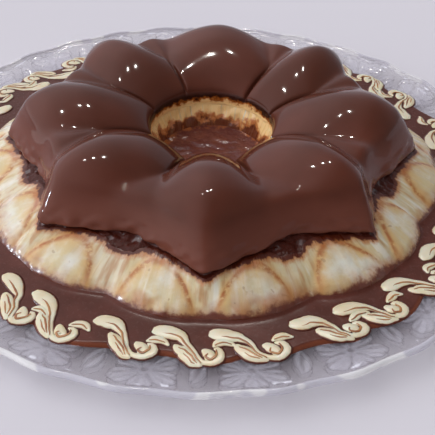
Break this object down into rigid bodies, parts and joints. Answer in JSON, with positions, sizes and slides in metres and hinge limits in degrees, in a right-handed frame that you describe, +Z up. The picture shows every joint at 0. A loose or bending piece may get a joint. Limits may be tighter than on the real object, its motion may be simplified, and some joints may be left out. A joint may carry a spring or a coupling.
{
  "type": "chocolate flan on a plate",
  "caption": "Ring-shaped chocolate flan from a fluted mould: keeled petals over a pale custard layer with arched pillows, in a pool of sauce with cream scrolls, on a round glass plate.",
  "frame": {"origin": "middle of the plate's foot, on the surface that it stands on", "axes": "+Z up; -Y toward the front petal's point; +X to the right seen from the front"},
  "size_m": [0.3324, 0.3324, 0.0495],
  "materials": {
    "chocolate": "stands in for wet, glossy chocolate custard",
    "custard": "stands in for moist, satin cream custard",
    "hole_sauce": "stands in for glossy, reddish chocolate sauce",
    "sauce": "stands in for thin chocolate sauce; the cream scrolls on it are ivory",
    "plate_glass": "clear pressed glass with a relief on its flange"
  },
  "bodies": {
    "root": {"chocolate_layer": "chocolate", "custard_layer": "custard", "hole_sauce": "hole_sauce", "chocolate_sauce": "sauce", "plate": "plate_glass"}
  },
  "joints": []
}
